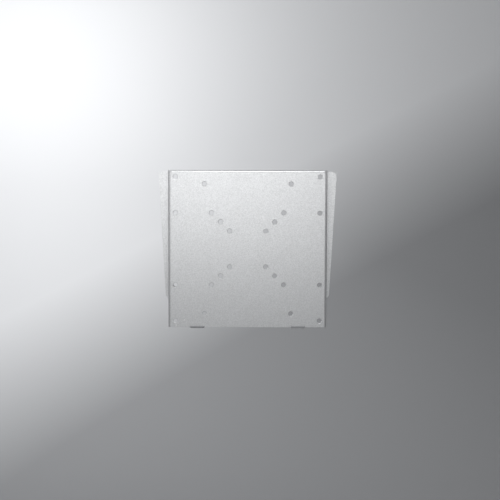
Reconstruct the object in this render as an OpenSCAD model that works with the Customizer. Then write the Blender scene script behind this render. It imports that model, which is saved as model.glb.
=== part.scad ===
// Fixed wall mount for a flat screen: a folded plate bolts to the screen and hangs on the hooks
// of a wall plate, and two set screws from below keep it from being lifted off.
// Millimetres. The wall is the plane y = 0, the viewer is on the -Y side and +Z is up.
// The origin is the centre of the wall fixing holes.

/* [Sheet] */
// Thickness of the steel sheet of both plates
sheet_t = 2; // [1.6:0.1:2.2]
// Inside radius of every bend
bend_r = 1.5; // [1.2:0.1:1.8]
// Radius of the outside corners of the small flanges and tabs
corner_r = 3; // [2:0.5:4]

/* [Screen plate] */
// Width over the folded sides
face_w = 220; // [216:1:240]
// Height of the face
face_h = 218; // [214:1:230]
// Distance from the wall to the front of the face
mount_depth = 22; // [21:1:40]
// Free space between the sides of the screen plate and the wall plate's sheet
back_clear = 1; // [0.5:0.1:2]
// Width of the narrow slits that end a bend
slit_w = 0.8; // [0.6:0.1:1]

/* [Hole patterns] */
// Diameter of the screw holes for the screen
hole_d = 6.5; // [5:0.5:7]
// Width and depth of the rounded-over rim of those holes, cut as a small bevel
hole_rim = 0.4; // [0.2:0.1:0.6]
// Hole spacing of the smallest square
small_square = 50; // [40:1:60]
// Hole spacing of the second square
second_square = 75; // [66:1:84]
// Hole spacing of the third square, and the height of the wide rectangle
third_square = 100; // [92:1:104]
// Hole spacing of the largest square, and the width of the wide rectangle
large_square = 200; // [190:1:202]
// Width of the tall rectangle
tall_w = 120; // [108:1:124]
// Height of the tall rectangle
tall_h = 180; // [176:1:182]

/* [Hooks] */
// Distance from the middle to each hook's middle
hook_x = 80; // [78:1:82]
// Width of a hook
hook_w = 24; // [20:1:26]
// How much narrower the lip is that drops into the hook
lip_less = 2; // [1:0.5:4]
// Height of the hook's floor above the middle of the plates
seat_z = 86; // [84:1:88]
// How far the hook reaches up in front of the lip
hook_catch = 6; // [4:0.5:8]
// Distance from the wall to the back of the hook's upstand
channel_w = 6; // [6:0.5:8]

/* [Wall plate] */
// How far a wing stands out beside the face at its top
wing_top_out = 14.7; // [11:0.1:20]
// How far a wing stands out beside the face at its lower end
wing_low_out = 4.6; // [4:0.1:9]
// Height of the top of the wings above the middle
wing_top_z = 107; // [100:1:112]
// Distance of the lower end of the wings below the middle
wing_low_z = 70.6; // [64:0.2:72]
// Radius of the upper outside corners of the wings
wing_top_r = 6; // [4:0.5:9]
// Radius of the lower outside corners of the wings
wing_low_r = 6; // [3:0.5:6.5]
// How far the sides of the opening, and of the gap between the ears, lie inside the face's sides
opening_in = 4; // [3:0.5:6]
// Height of the opening's upper edge above the middle
opening_top_z = 57; // [50:1:59]
// Distance of the opening's lower edge below the middle
opening_low_z = 56; // [50:1:59]
// Corner radius of the opening
opening_r = 10; // [4:1:20]
// Free space between the wall plate's lower flange and the screen plate's sides
side_clear = 1; // [0.5:0.1:2]
// How far the flange stands out from the wall
flange_reach = 16; // [15:0.5:17]

/* [Wall fixing holes] */
// Diameter of the round holes and width of the slots
wall_hole_d = 8; // [6:0.5:9]
// Distance between the rows, above and below the middle
wall_rows = 138; // [136:1:140]
// Distance between the outer round holes
wall_hole_w = 180; // [170:1:190]
// Distance between the slots' middles
slot_gap = 90; // [84:1:96]
// Length of a slot from end to end
slot_len = 24; // [16:1:28]

/* [Lock] */
// Distance from the middle to each lock screw
lock_x = 70; // [66:1:74]
// Distance from the wall to the lock screws' axes
lock_y = 11; // [10:0.5:12]
// Width of a lock tab
tab_w = 19; // [16:1:22]
// How far the tabs' underside lies below the face's lower edge
tab_drop = 1.8; // [0.5:0.1:2]
// Distance from the wall to the tabs' free ends
tab_back = 4.5; // [3.5:0.5:5]
// Diameter of the lock screws
screw_d = 6; // [5:1:6]
// Length of a lock screw
screw_len = 25; // [24:1:26]
// How far a locked screw's lower end sits above the tab's underside
screw_inset = 0.7; // [0.5:0.1:1.5]
// Free space between a lock screw's tip and the flange
tip_gap = 0.3; // [0.2:0.1:0.5]
// Width across the flats of the screw's hexagon socket
socket_af = 3; // [2.5:0.5:3]
// Depth of the socket
socket_depth = 4; // [3:0.5:5]
// Width across the flats of a weld nut
nut_af = 10; // [9:0.5:11]
// Height of a weld nut
nut_h = 5; // [4:0.5:6]
// Radial running clearance of the screw in its nut
thread_clear = 0.05; // [0.02:0.01:0.1]
// How much larger the hole through the tab is than the screw
tab_hole_more = 0.5; // [0.3:0.1:1]

/* [Hidden] */
$fn = 64;
sheet_colour = [0.80, 0.80, 0.81];
zinc_colour = [0.66, 0.67, 0.68];
steel_colour = [0.30, 0.30, 0.31];

// Past-the-surface length of a cutter
over = 1;
bend_out = bend_r + sheet_t;
// How far the flats and the bends of one sheet run into each other, so that they stay one solid
lap = 0.5;
top_z = face_h / 2;
low_z = -face_h / 2;
flat_half = face_w / 2 - bend_out;
side_back = sheet_t + back_clear;
// Top fold of the screen plate: the flange ends where the lips start to bend down
fold_half = flat_half - slit_w;
lip_front = channel_w - bend_r;
lip_back = lip_front - sheet_t;
lip_w = hook_w - lip_less;
// Height at which the wall plate's sheet starts to bend forward into a hook
hook_root_z = seat_z - bend_out;
tab_under_z = low_z - tab_drop;
tab_root_z = tab_under_z + bend_out;
// Lock screws, and the flange at the height that their length reaches
screw_low_z = tab_under_z + screw_inset;
flange_under_z = screw_low_z + screw_len + tip_gap;
flange_root_z = flange_under_z + bend_out;
flange_half = face_w / 2 - sheet_t - side_clear;
// Opening of the wall plate, and the corners of the hooks, which are no larger than the upstand
opening_w = face_w - 2 * opening_in;
hook_corner_r = min(corner_r, hook_catch - bend_r);
nut_seat_z = tab_under_z + sheet_t;
// Bevel at the ends of a lock screw and at the corners of a nut
end_bevel = 0.7;
cup_d = 3;
cup_depth = 1;

// The six rectangles of four holes, as width and height between hole centres
SCREEN_PATTERNS = [
    [small_square, small_square],
    [second_square, second_square],
    [third_square, third_square],
    [large_square, third_square],
    [large_square, large_square],
    [tall_w, tall_h]
];

// Quarter of a ring of bent sheet about the origin, from the angle start to start + 90, with a
// lap of flat sheet at both ends
module bend_ring(start) {
    rotate(start) {
        intersection() {
            difference() {
                circle(r = bend_out);
                circle(r = bend_r);
            }
            square(bend_out);
        }
        translate([bend_r, -lap]) square([sheet_t, lap]);
        translate([-lap, bend_r]) square([lap, sheet_t]);
    }
}

// Extrudes a profile drawn as (y, z) along X, centred on x = 0
module along_x(length) {
    translate([-length / 2, 0, 0])
        rotate([90, 0, 90]) linear_extrude(height = length) children();
}

// Extrudes an outline drawn as (x, z) from the plane y = 0 towards the viewer
module along_y(thickness) {
    rotate([90, 0, 0]) linear_extrude(height = thickness) children();
}

// Both of a pair that lies left and right of the middle
module both_sides() {
    children();
    mirror([1, 0, 0]) children();
}

// The sliver between a corner and its tangent arc; a and b are unit directions along the edges
module corner_sliver(corner, a, b, r) {
    half_angle = acos(a * b) / 2;
    reach = r / tan(half_angle);
    middle = corner + (a + b) / norm(a + b) * r / sin(half_angle);
    difference() {
        polygon([corner, corner + a * reach, middle, corner + b * reach]);
        translate(middle) circle(r = r);
    }
}

// Rectangle with round corners, from its lower left to its upper right corner
module round_rect(low, high, r) {
    translate([low.x + r, low.y]) square([high.x - low.x - 2 * r, high.y - low.y]);
    translate([low.x, low.y + r]) square([high.x - low.x, high.y - low.y - 2 * r]);
    for (x = [low.x + r, high.x - r], y = [low.y + r, high.y - r])
        translate([x, y]) circle(r = r);
}

// Screw hole in the face, with the bevel of its rim at the front
module screen_hole(x, z) {
    translate([x, -mount_depth, z]) rotate([-90, 0, 0]) {
        translate([0, 0, -over]) cylinder(h = sheet_t + 2 * over, d = hole_d);
        translate([0, 0, -hole_rim])
            cylinder(h = 2 * hole_rim, d1 = hole_d + 4 * hole_rim, d2 = hole_d);
    }
}

// Flat face between the bends, open below the roots of the lock tabs
module face_sheet() {
    difference() {
        translate([-flat_half, -mount_depth, low_z])
            cube([2 * flat_half, sheet_t, top_z - bend_out - low_z]);
        for (x = [-lock_x, lock_x])
            translate([x - tab_w / 2, -mount_depth - over, low_z - over])
                cube([tab_w, sheet_t + 2 * over, tab_root_z - low_z + over]);
    }
}

// Slits that part the top fold from the side folds, and each lock tab from the face
module bend_slits() {
    for (x = [-flat_half, fold_half])
        translate([x, -mount_depth - over, top_z - bend_out])
            cube([slit_w, bend_out + over, bend_out + over]);
    for (tab_x = [-lock_x, lock_x], x = [tab_x - tab_w / 2 - slit_w, tab_x + tab_w / 2])
        translate([x, -mount_depth - over, low_z - over])
            cube([slit_w, sheet_t + 2 * over, tab_root_z + slit_w - low_z + over]);
}

// Bend and side wall at the right edge; the wall's free corners are round
module side_fold() {
    translate([flat_half, bend_out - mount_depth, low_z])
        linear_extrude(height = face_h) bend_ring(-90);
    translate([(face_w - sheet_t) / 2, 0, 0]) along_x(sheet_t) difference() {
        translate([bend_out - mount_depth, low_z])
            square([mount_depth - bend_out - side_back, face_h]);
        corner_sliver([-side_back, top_z], [-1, 0], [0, -1], corner_r);
        corner_sliver([-side_back, low_z], [-1, 0], [0, 1], corner_r);
    }
}

// Bend and flange along the top edge
module top_fold() {
    along_x(2 * fold_half) {
        translate([bend_out - mount_depth, top_z - bend_out]) bend_ring(90);
        translate([bend_out - mount_depth, top_z - sheet_t])
            square([mount_depth - bend_out - lip_back - bend_out, sheet_t]);
    }
}

// Lip that bends down from the top flange and stands in a hook; its lower corners are round
module hook_lip() {
    along_x(lip_w) translate([-lip_back - bend_out, top_z - bend_out]) bend_ring(0);
    translate([0, -lip_back, 0]) along_y(sheet_t) difference() {
        translate([-lip_w / 2, seat_z]) square([lip_w, top_z - bend_out - seat_z]);
        corner_sliver([-lip_w / 2, seat_z], [1, 0], [0, 1], corner_r);
        corner_sliver([lip_w / 2, seat_z], [-1, 0], [0, 1], corner_r);
    }
}

// Tab folded back from the lower edge, with the hole for its lock screw
module lock_tab() {
    difference() {
        union() {
            along_x(tab_w) translate([bend_out - mount_depth, tab_root_z]) bend_ring(180);
            translate([0, 0, tab_under_z]) linear_extrude(height = sheet_t)
                difference() {
                    translate([-tab_w / 2, bend_out - mount_depth])
                        square([tab_w, mount_depth - bend_out - tab_back]);
                    corner_sliver([-tab_w / 2, -tab_back], [1, 0], [0, -1], corner_r);
                    corner_sliver([tab_w / 2, -tab_back], [-1, 0], [0, -1], corner_r);
                }
        }
        translate([0, -lock_y, tab_under_z - over])
            cylinder(h = sheet_t + 2 * over, d = screw_d + tab_hole_more);
    }
}

module screen_plate() {
    color(sheet_colour) difference() {
        union() {
            face_sheet();
            both_sides() side_fold();
            top_fold();
            for (x = [-hook_x, hook_x]) translate([x, 0, 0]) hook_lip();
            for (x = [-lock_x, lock_x]) translate([x, 0, 0]) lock_tab();
        }
        bend_slits();
        for (p = SCREEN_PATTERNS, sx = [-0.5, 0.5], sz = [-0.5, 0.5])
            screen_hole(sx * p[0], sz * p[1]);
    }
}

// Right half of the wall plate's outline as (x, z)
module wall_half() {
    ear_x = opening_w / 2;
    top = [face_w / 2 + wing_top_out, wing_top_z];
    low = [face_w / 2 + wing_low_out, -wing_low_z];
    down = (low - top) / norm(low - top);
    difference() {
        polygon([
            [0, hook_root_z], [ear_x, hook_root_z], [ear_x, wing_top_z], top,
            low, [flange_half, -wing_low_z], [flange_half, flange_root_z], [0, flange_root_z]
        ]);
        corner_sliver(top, [-1, 0], down, wing_top_r);
        corner_sliver(low, [-1, 0], -down, wing_low_r);
        corner_sliver([ear_x, wing_top_z], [1, 0], [0, -1], corner_r);
    }
    corner_sliver([ear_x, hook_root_z], [-1, 0], [0, 1], corner_r);
}

// One row of wall fixings: two outer round holes, two slots and a middle hole
module wall_row(z) {
    half_flat = (slot_len - wall_hole_d) / 2;
    for (x = [-wall_hole_w / 2, 0, wall_hole_w / 2])
        translate([x, z]) circle(d = wall_hole_d);
    for (x = [-slot_gap / 2, slot_gap / 2]) translate([x, z]) {
        square([2 * half_flat, wall_hole_d], center = true);
        for (end = [-half_flat, half_flat]) translate([end, 0]) circle(d = wall_hole_d);
    }
}

// Hook that bends forward and up from the upper edge of the wall plate, with round upper corners
module wall_hook() {
    upstand_h = hook_catch - bend_r;
    along_x(hook_w) {
        translate([-bend_out, hook_root_z]) bend_ring(0);
        translate([-lip_front, seat_z - sheet_t]) square([lip_front - bend_out, sheet_t]);
        translate([-lip_front, seat_z + bend_r]) bend_ring(180);
    }
    translate([0, -channel_w, seat_z + bend_r]) along_y(sheet_t) difference() {
        translate([-hook_w / 2, 0]) square([hook_w, upstand_h]);
        corner_sliver([-hook_w / 2, upstand_h], [1, 0], [0, -1], hook_corner_r);
        corner_sliver([hook_w / 2, upstand_h], [-1, 0], [0, -1], hook_corner_r);
    }
}

// Flange along the lower edge, on which the lock screws bear
module lower_flange() {
    along_x(2 * flange_half) translate([-bend_out, flange_root_z]) bend_ring(-90);
    translate([0, 0, flange_under_z]) linear_extrude(height = sheet_t) difference() {
        translate([-flange_half, -flange_reach])
            square([2 * flange_half, flange_reach - bend_out]);
        corner_sliver([-flange_half, -flange_reach], [1, 0], [0, 1], corner_r);
        corner_sliver([flange_half, -flange_reach], [-1, 0], [0, 1], corner_r);
    }
}

module wall_plate() {
    color(sheet_colour) union() {
        along_y(sheet_t) difference() {
            both_sides() wall_half();
            round_rect([-opening_w / 2, -opening_low_z], [opening_w / 2, opening_top_z], opening_r);
            for (z = [-wall_rows / 2, wall_rows / 2]) wall_row(z);
        }
        for (x = [-hook_x, hook_x]) translate([x, 0, 0]) wall_hook();
        lower_flange();
    }
}

// Weld nut on a lock tab, with the bevel that a rolled hexagon has at its top corners
module weld_nut(x) {
    corner_d = nut_af / cos(30);
    color(zinc_colour) translate([x, -lock_y, nut_seat_z]) difference() {
        intersection() {
            cylinder(h = nut_h, d = corner_d, $fn = 6);
            union() {
                cylinder(h = nut_h - end_bevel, d = corner_d + over);
                translate([0, 0, nut_h - end_bevel])
                    cylinder(h = end_bevel, d1 = corner_d + over, d2 = nut_af - end_bevel);
            }
        }
        translate([0, 0, -over])
            cylinder(h = nut_h + 2 * over, d = screw_d + 2 * thread_clear);
    }
}

// Set screw with a cup point at the top and a hexagon socket at its lower end
module lock_screw(x) {
    shank_h = screw_len - 2 * end_bevel;
    color(steel_colour) translate([x, -lock_y, screw_low_z]) difference() {
        union() {
            cylinder(h = end_bevel, d1 = screw_d - 2 * end_bevel, d2 = screw_d);
            translate([0, 0, end_bevel]) cylinder(h = shank_h, d = screw_d);
            translate([0, 0, end_bevel + shank_h])
                cylinder(h = end_bevel, d1 = screw_d, d2 = screw_d - 2 * end_bevel);
        }
        translate([0, 0, -over])
            cylinder(h = socket_depth + over, d = socket_af / cos(30), $fn = 6);
        translate([0, 0, screw_len - cup_depth]) cylinder(h = cup_depth, d1 = 0, d2 = cup_d);
    }
}

module weld_nut_left() { weld_nut(-lock_x); }
module weld_nut_right() { weld_nut(lock_x); }
module lock_screw_left() { lock_screw(-lock_x); }
module lock_screw_right() { lock_screw(lock_x); }

wall_plate();
screen_plate();
weld_nut_left();
weld_nut_right();
lock_screw_left();
lock_screw_right();
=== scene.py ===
import math

import bmesh
import bpy
import numpy as np
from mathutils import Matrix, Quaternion, Vector


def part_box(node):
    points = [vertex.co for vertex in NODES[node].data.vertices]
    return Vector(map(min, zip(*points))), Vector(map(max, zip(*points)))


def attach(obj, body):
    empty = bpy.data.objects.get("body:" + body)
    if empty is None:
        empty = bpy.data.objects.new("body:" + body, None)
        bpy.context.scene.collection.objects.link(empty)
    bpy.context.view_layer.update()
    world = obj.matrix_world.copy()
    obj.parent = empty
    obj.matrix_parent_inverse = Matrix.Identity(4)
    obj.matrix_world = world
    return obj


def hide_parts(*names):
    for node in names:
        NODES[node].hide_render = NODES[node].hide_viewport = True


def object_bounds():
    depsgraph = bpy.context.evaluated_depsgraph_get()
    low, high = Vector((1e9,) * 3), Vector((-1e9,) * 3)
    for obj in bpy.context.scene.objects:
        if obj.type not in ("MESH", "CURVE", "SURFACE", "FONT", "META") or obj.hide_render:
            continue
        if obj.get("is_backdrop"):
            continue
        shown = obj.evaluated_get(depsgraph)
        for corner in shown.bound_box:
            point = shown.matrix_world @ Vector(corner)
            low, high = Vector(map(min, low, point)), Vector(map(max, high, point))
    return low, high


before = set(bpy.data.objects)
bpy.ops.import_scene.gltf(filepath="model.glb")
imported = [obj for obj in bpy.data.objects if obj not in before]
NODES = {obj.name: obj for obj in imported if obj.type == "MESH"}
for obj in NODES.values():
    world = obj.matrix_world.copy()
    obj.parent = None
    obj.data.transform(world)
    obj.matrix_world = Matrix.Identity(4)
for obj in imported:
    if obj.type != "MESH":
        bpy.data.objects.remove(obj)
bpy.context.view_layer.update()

# Wall plate: one sheet of 2 mm steel, cut, punched and folded, with two tapered wings and two hooks.
# It is coated with silver powder, aluminium flakes in a matt polyester film that rounds the cut edges.
sharp_angle = math.radians(28)


def soft_copy(node_name, piece_name):
    """A merged copy of a CAD node whose bends look round, and whose flats and cut edges stay true.

    Normal at a corner = unit(sum of area^2 * n) over the faces at its vertex that turn less than
    sharp_angle from its own face, so a large flat outweighs the narrow facets of a bend.
    """
    soft = bmesh.new()
    soft.from_mesh(NODES[node_name].data)
    bmesh.ops.remove_doubles(soft, verts=soft.verts, dist=1e-6)
    bmesh.ops.dissolve_limit(soft, angle_limit=math.radians(0.2), verts=soft.verts, edges=soft.edges)
    mesh = bpy.data.meshes.new(piece_name)
    soft.to_mesh(mesh)
    soft.free()
    mesh.shade_smooth()
    corner_vertex = np.empty(len(mesh.loops), int)
    mesh.loops.foreach_get("vertex_index", corner_vertex)
    face_normal = np.empty(3 * len(mesh.polygons))
    mesh.polygons.foreach_get("normal", face_normal)
    face_area = np.empty(len(mesh.polygons))
    mesh.polygons.foreach_get("area", face_area)
    face_corners = np.empty(len(mesh.polygons), int)
    mesh.polygons.foreach_get("loop_total", face_corners)
    own = np.repeat(face_normal.reshape(-1, 3), face_corners, axis=0)
    pull = own * np.repeat(face_area, face_corners)[:, None] ** 2
    order = np.argsort(corner_vertex, kind="stable")
    total = pull.copy()
    for step in range(1, np.bincount(corner_vertex).max()):
        first, second = order[:-step], order[step:]
        alike = np.einsum("ij,ij->i", own[first], own[second]) > math.cos(sharp_angle)
        alike &= corner_vertex[first] == corner_vertex[second]
        np.add.at(total, first[alike], pull[second[alike]])
        np.add.at(total, second[alike], pull[first[alike]])
    mesh.normals_split_custom_set((total / np.linalg.norm(total, axis=1)[:, None]).tolist())
    piece = bpy.data.objects.new(piece_name, mesh)
    bpy.context.collection.objects.link(piece)
    return piece


def linear(hex_colour):
    """sRGB hex to linear: each channel through the inverse of the sRGB curve."""
    channels = [int(hex_colour[i:i + 2], 16) / 255 for i in (1, 3, 5)]
    return [c / 12.92 if c <= 0.04045 else ((c + 0.055) / 1.055) ** 2.4 for c in channels] + [1.0]


def add(tree, kind, inputs=(), **settings):
    """Adds one node; inputs maps a socket's name or number to a value or to another node's output."""
    node = tree.nodes.new(kind)
    for name, value in settings.items():
        setattr(node, name, value)
    for name, value in dict(inputs).items():
        if isinstance(value, bpy.types.NodeSocket):
            tree.links.new(value, node.inputs[name])
        else:
            node.inputs[name].default_value = value
    return node


def silver_powder_coat(name, bare_spots=()):
    """Silver powder coat: light flakes in a matt film with a faint orange peel and rounded edges.

    The flakes are drawn 1.4 mm across, because real ones, 0.3 mm, are finer than the render's pixels.
    bare_spots lists (middle, half sizes) of ellipsoids where the film is rubbed bright.
    """
    flake_m, cloud_m, cloud_share = 0.0014, 0.030, 0.005
    peel_m, peel_depth, edge_r = 0.0020, 0.00008, 0.0003
    low_noise, high_noise = 0.25, 0.75
    material = bpy.data.materials.new(name)
    material.use_nodes = True
    tree = material.node_tree
    shader = tree.nodes["Principled BSDF"]
    place = add(tree, "ShaderNodeTexCoord").outputs["Object"]
    flakes = add(tree, "ShaderNodeTexNoise",
                 {"Vector": place, "Scale": 1 / flake_m, "Detail": 2.0, "Roughness": 0.6})
    clouds = add(tree, "ShaderNodeTexNoise",
                 {"Vector": place, "Scale": 1 / cloud_m, "Detail": 1.0, "Roughness": 0.5})
    shade = add(tree, "ShaderNodeMapRange",
                {"Value": flakes.outputs["Fac"], "From Min": low_noise, "From Max": high_noise})
    grain = add(tree, "ShaderNodeMix",
                {"Factor": shade.outputs["Result"], "A": linear("#BCBDBE"), "B": linear("#D7D8D9")},
                data_type="RGBA")
    cloud_shade = add(tree, "ShaderNodeMapRange",
                      {"Value": clouds.outputs["Fac"], "From Min": 0.3, "From Max": 0.7,
                       "To Min": 1 - cloud_share, "To Max": 1 + cloud_share})
    film = add(tree, "ShaderNodeVectorMath",
               {0: grain.outputs["Result"], "Scale": cloud_shade.outputs["Result"]}, operation="SCALE")
    colour = film.outputs[0]
    for middle, half_sizes in bare_spots:
        away = add(tree, "ShaderNodeVectorMath", {0: place, 1: middle}, operation="SUBTRACT")
        share = add(tree, "ShaderNodeVectorMath", {0: away.outputs[0], 1: half_sizes}, operation="DIVIDE")
        reach = add(tree, "ShaderNodeVectorMath", {0: share.outputs[0]}, operation="LENGTH")
        bare = add(tree, "ShaderNodeMapRange",
                   {"Value": reach.outputs["Value"], "From Min": 0.6, "From Max": 1.0,
                    "To Min": 1.0, "To Max": 0.0})
        rubbed = add(tree, "ShaderNodeMix",
                     {"Factor": bare.outputs["Result"], "A": colour, "B": linear("#F6F6F6")},
                     data_type="RGBA")
        colour = rubbed.outputs["Result"]
    tree.links.new(colour, shader.inputs["Base Color"])
    dull = add(tree, "ShaderNodeMapRange",
               {"Value": flakes.outputs["Fac"], "From Min": low_noise, "From Max": high_noise,
                "To Min": 0.42, "To Max": 0.36})
    tree.links.new(dull.outputs["Result"], shader.inputs["Roughness"])
    shader.inputs["Metallic"].default_value = 0.88
    peel = add(tree, "ShaderNodeTexNoise",
               {"Vector": place, "Scale": 1 / peel_m, "Detail": 3.0, "Roughness": 0.6})
    edge = add(tree, "ShaderNodeBevel", {"Radius": edge_r}, samples=4)
    bump = add(tree, "ShaderNodeBump",
               {"Height": peel.outputs["Fac"], "Normal": edge.outputs["Normal"],
                "Strength": 0.30, "Distance": peel_depth})
    tree.links.new(bump.outputs["Normal"], shader.inputs["Normal"])
    return material


wall_plate = soft_copy("wall_plate", "wall_plate_coated")
wall_plate.data.materials.append(silver_powder_coat("wall_plate_powder_coat"))
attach(wall_plate, "mount")
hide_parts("wall_plate")

# Screen plate: one folded sheet of the same steel and coat, with side folds, a top fold with two lips
# that hang in the wall plate's hooks, and two lock tabs. The holes are punched and bevelled before coating.
# Handling has left a bright speck and a fine scratch by the lower left corner.
screen_plate = soft_copy("screen_plate", "screen_plate_coated")
speck = ((-0.0874, -0.022, -0.0990), (0.0008, 0.0008, 0.0008))
scratch = ((-0.0992, -0.022, -0.1065), (0.0004, 0.0008, 0.0028))
screen_plate.data.materials.append(silver_powder_coat("screen_plate_powder_coat", (speck, scratch)))
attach(screen_plate, "mount")
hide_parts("screen_plate")

# Weld nuts: two hexagon nuts of zinc-plated steel.
# They are welded on the tabs that fold back under the face, and carry the lock screws.


def zinc_plate(name):
    """Clear zinc plating on steel: a soft blue-grey metal with fine crystals about 0.5 mm across."""
    crystal_m = 0.0005
    material = bpy.data.materials.new(name)
    material.use_nodes = True
    tree = material.node_tree
    shader = tree.nodes["Principled BSDF"]
    shader.inputs["Metallic"].default_value = 1.0
    place = add(tree, "ShaderNodeTexCoord").outputs["Object"]
    crystals = add(tree, "ShaderNodeTexNoise",
                   {"Vector": place, "Scale": 1 / crystal_m, "Detail": 3.0})
    colour = add(tree, "ShaderNodeMix",
                 {"Factor": crystals.outputs["Fac"], "A": linear("#9FA3A6"), "B": linear("#C3C7CA")},
                 data_type="RGBA")
    tree.links.new(colour.outputs["Result"], shader.inputs["Base Color"])
    dull = add(tree, "ShaderNodeMapRange",
               {"Value": crystals.outputs["Fac"], "To Min": 0.28, "To Max": 0.45})
    tree.links.new(dull.outputs["Result"], shader.inputs["Roughness"])
    return material


zinc = zinc_plate("zinc_plated_steel")
for side in ("left", "right"):
    NODES["weld_nut_" + side].material_slots[0].material = zinc

# Lock screws: two M6 set screws of blackened steel with a cup point, turned from below with a 3 mm key.
# Their threads are rolled, so crests and roots are slightly flat.
pitch, thread_share = 0.001, 0.6134
key_af, socket_depth = 0.003, 0.004
cup_d, cup_depth, end_bevel = 0.003, 0.001, 0.0007


def black_oxide(name):
    """Black oxide on hardened steel: near-black metal with an oily, uneven sheen."""
    film_m = 0.003
    material = bpy.data.materials.new(name)
    material.use_nodes = True
    tree = material.node_tree
    shader = tree.nodes["Principled BSDF"]
    shader.inputs["Metallic"].default_value = 0.8
    place = add(tree, "ShaderNodeTexCoord").outputs["Object"]
    film = add(tree, "ShaderNodeTexNoise", {"Vector": place, "Scale": 1 / film_m, "Detail": 3.0})
    colour = add(tree, "ShaderNodeMix",
                 {"Factor": film.outputs["Fac"], "A": linear("#1C1C1E"), "B": linear("#3A3A3C")},
                 data_type="RGBA")
    tree.links.new(colour.outputs["Result"], shader.inputs["Base Color"])
    dull = add(tree, "ShaderNodeMapRange",
               {"Value": film.outputs["Fac"], "To Min": 0.3, "To Max": 0.5})
    tree.links.new(dull.outputs["Result"], shader.inputs["Roughness"])
    return material


def set_screw(name, low, high):
    """A surface of rows round the screw's axis, from the cup at the top to the socket's bottom.

    Thread rows follow the helix z = z_row + pitch * u / (2 pi), and their radius goes from
    root to crest and back once a pitch, with root = radius - thread_share * pitch. They are cut
    off flat at both ends, where a cone limits the radius. The socket's rows are hexagons:
    r = (key_af / 2) / cos(u to the nearest flat).
    """
    columns, radius = 48, (high[0] - low[0]) / 2
    root = radius - thread_share * pitch
    u = np.arange(columns) * 2 * math.pi / columns
    across = np.mod(u, math.pi / 3) - math.pi / 6
    turns = np.arange(math.ceil((high[2] - low[2]) / pitch), -2, -1)
    row_shares = np.array([0.9375, 0.625, 0.375, 0.0625])
    z_rows = low[2] + (turns[:, None] + row_shares[None, :]).ravel() * pitch
    crest = np.tile([root, radius, radius, root], len(turns))
    z = np.clip(z_rows[:, None] + pitch * u[None, :] / (2 * math.pi), low[2], high[2])
    from_end = np.minimum(z - low[2], high[2] - z)
    r = np.minimum(crest[:, None], radius - end_bevel + from_end)
    flat = np.ones(columns)
    hexagon = key_af / 2 / np.cos(across)
    floor_z = low[2] + socket_depth
    ring_r = np.vstack([0 * flat, cup_d / 2 * flat, r, hexagon, hexagon, 0 * flat])
    ring_z = np.vstack([(high[2] - cup_depth) * flat, high[2] * flat, z, low[2] * flat,
                        floor_z * flat, (floor_z + key_af / 4) * flat])
    middle = (low + high) / 2
    points = np.stack([middle[0] + ring_r * np.cos(u), middle[1] + ring_r * np.sin(u), ring_z], axis=2)
    i, j = np.meshgrid(np.arange(len(ring_r) - 1), np.arange(columns), indexing="ij")
    k = (j + 1) % columns
    quads = np.stack([i * columns + j, (i + 1) * columns + j, (i + 1) * columns + k,
                      i * columns + k], axis=2)
    mesh = bpy.data.meshes.new(name)
    mesh.from_pydata(points.reshape(-1, 3).tolist(), [], quads.reshape(-1, 4).tolist())
    mesh.shade_smooth()
    mesh.set_sharp_from_angle(angle=sharp_angle)
    screw = bpy.data.objects.new(name, mesh)
    bpy.context.collection.objects.link(screw)
    return screw


oxide = black_oxide("black_oxide_steel")
for side in ("left", "right"):
    low, high = map(np.array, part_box("lock_screw_" + side))
    screw = set_screw("set_screw_" + side, low, high)
    screw.data.materials.append(oxide)
    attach(screw, side + "_lock")
    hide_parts("lock_screw_" + side)

# Studio: a pale paper sweep, whose floor curves up into a wall behind the mount, and soft square lamps.
# Eight lamps stand round and above the mount, and one more lights the wall behind it.
floor_z, wall_y, wall_height, sweep_r = -0.60, 1.30, 4.0, 0.70
half_width, floor_front_y = 40.0, -60.0


def sweep_mesh(name):
    """A profile (y, z) of floor, quarter circle and wall, carried along X."""
    angle = np.linspace(-math.pi / 2, 0, 33)
    arc_y = wall_y - sweep_r + sweep_r * np.cos(angle)
    arc_z = floor_z + sweep_r + sweep_r * np.sin(angle)
    y = np.concatenate([[floor_front_y], arc_y, [wall_y]])
    z = np.concatenate([[floor_z], arc_z, [floor_z + wall_height]])
    x = np.array([-half_width, half_width])
    points = np.stack([np.repeat(x, len(y)), np.tile(y, 2), np.tile(z, 2)], axis=1)
    i = np.arange(len(y) - 1)
    quads = np.stack([i, i + len(y), i + len(y) + 1, i + 1], axis=1)
    mesh = bpy.data.meshes.new(name)
    mesh.from_pydata(points.tolist(), [], quads.tolist())
    mesh.polygons.foreach_set("use_smooth", np.ones(len(quads), bool))
    return mesh


sweep = bpy.data.objects.new("studio_sweep", sweep_mesh("studio_sweep"))
bpy.context.collection.objects.link(sweep)


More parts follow.
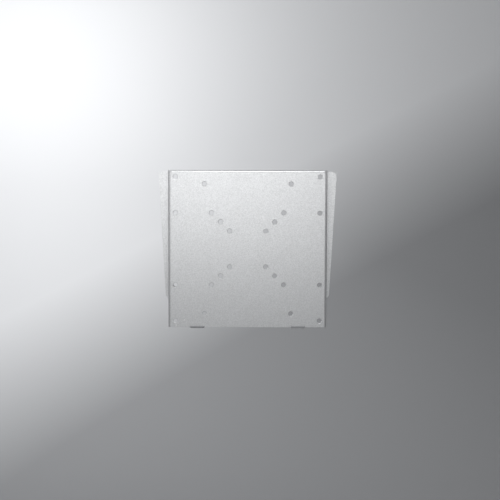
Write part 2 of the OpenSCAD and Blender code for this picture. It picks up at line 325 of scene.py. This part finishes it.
def paper_with_painted_shade(name):
    """Matt studio paper, pale, with painted shade: its colour eases to a soft grey at the lower right of
    the wall behind the mount, standing in for the lamps' light falling off there.

    The painted shade rises with 0.55 x - 1.05 z. It fades out again on the floor towards the front, and far
    away.
    """
    grey_from, grey_to = -0.07, 0.31
    front_y, back_y = -1.6, 0.6
    near_m, far_m = 1.9, 3.2
    material = bpy.data.materials.new(name)
    material.use_nodes = True
    tree = material.node_tree
    shader = tree.nodes["Principled BSDF"]
    shader.inputs["Roughness"].default_value = 0.9
    place = add(tree, "ShaderNodeTexCoord").outputs["Object"]
    depth = add(tree, "ShaderNodeSeparateXYZ", {"Vector": place}).outputs["Y"]
    reach = add(tree, "ShaderNodeVectorMath", {0: place}, operation="LENGTH")
    at_back = add(tree, "ShaderNodeMapRange", {"Value": depth, "From Min": front_y, "From Max": back_y})
    near = add(tree, "ShaderNodeMapRange",
               {"Value": reach.outputs["Value"], "From Min": far_m, "From Max": near_m,
                "To Max": at_back.outputs["Result"]})
    down_right = add(tree, "ShaderNodeVectorMath", {0: place, 1: (0.55, 0.0, -1.05)},
                     operation="DOT_PRODUCT")
    # Painted shade: the paper's colour turns grey towards the lower right, where the lamps' light falls
    # off.
    grey = add(tree, "ShaderNodeMapRange",
               {"Value": down_right.outputs["Value"], "From Min": grey_from, "From Max": grey_to,
                "To Max": near.outputs["Result"]})
    colour = add(tree, "ShaderNodeMix",
                 {"Factor": grey.outputs["Result"], "A": linear("#CBCCCE"), "B": linear("#8B8C8E")},
                 data_type="RGBA")
    tree.links.new(colour.outputs["Result"], shader.inputs["Base Color"])
    return material


sweep.data.materials.append(paper_with_painted_shade("studio_paper_painted_shade"))
sweep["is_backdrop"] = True

world = bpy.data.worlds.new("studio")
world.use_nodes = True
bpy.context.scene.world = world
air = world.node_tree.nodes["Background"]
air.inputs["Color"].default_value = linear("#F4F5F6")
air.inputs["Strength"].default_value = 0.33


def softbox(name, place, target, size, watts):
    """A square area lamp at place that faces target; the camera doesn't see the lamp itself."""
    lamp = bpy.data.lights.new(name, "AREA")
    lamp.shape = "SQUARE"
    lamp.size = size
    lamp.energy = watts
    lamp_object = bpy.data.objects.new(name, lamp)
    bpy.context.collection.objects.link(lamp_object)
    lamp_object.location = place
    lamp_object.rotation_euler = (Vector(target) - Vector(place)).to_track_quat("-Z", "Y").to_euler()
    lamp_object.visible_camera = False


def around(azimuth_deg, elevation_deg, distance):
    """A place seen from the mount: azimuth 0 is straight in front and positive to the right."""
    a, e = math.radians(azimuth_deg), math.radians(elevation_deg)
    level = distance * math.cos(e)
    return (level * math.sin(a), -level * math.cos(a), distance * math.sin(e))


mount_middle = (0.0, 0.0, 0.0)
softbox("key", around(0, 10, 1.3), mount_middle, 0.5, 2.25)
softbox("fill_front_left", around(-20, 8, 1.3), mount_middle, 0.5, 1.45)
softbox("fill_front_right", around(20, 8, 1.3), mount_middle, 0.5, 0.4)
softbox("side_left", around(-75, 15, 1.3), mount_middle, 0.6, 2.8)
softbox("side_right", around(75, 15, 1.3), mount_middle, 0.6, 1.2)
softbox("overhead", around(0, 65, 1.2), mount_middle, 0.5, 5.0)
softbox("back_left", around(-160, 20, 1.2), mount_middle, 0.6, 1.8)
softbox("back_right", around(160, 20, 1.2), mount_middle, 0.6, 1.8)
softbox("backdrop", (-0.55, 0.50, 0.40), (-0.55, 1.30, 0.40), 0.4, 8.5)

# Camera: almost straight in front and a little above, 1.5 m away, as the photograph was taken.
# Its azimuth, elevation, roll, focal length and target fit the outlines and the holes in the photograph.
azimuth, elevation, roll = map(math.radians, (-0.47, 3.65, 0.21))
distance, focal_px, image_px, sensor_mm = 1.5, 1082.1, 500, 36.0
target = Vector((0.00326, -0.022, -0.00131))
back = Vector((math.sin(azimuth) * math.cos(elevation),
               -math.cos(azimuth) * math.cos(elevation), math.sin(elevation)))
camera = bpy.data.objects.new("camera", bpy.data.cameras.new("camera"))
bpy.context.collection.objects.link(camera)
camera.data.sensor_width = sensor_mm
camera.data.lens = focal_px / image_px * sensor_mm
camera.location = target + back * distance
camera.rotation_mode = "QUATERNION"
camera.rotation_quaternion = (-back).to_track_quat("-Z", "Y") @ Quaternion((0, 0, 1), roll)
bpy.context.scene.camera = camera
bpy.context.scene.view_settings.view_transform = "Standard"

# Sizes: the box of the shown model without the backdrop, as two vectors in metres.
low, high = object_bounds()
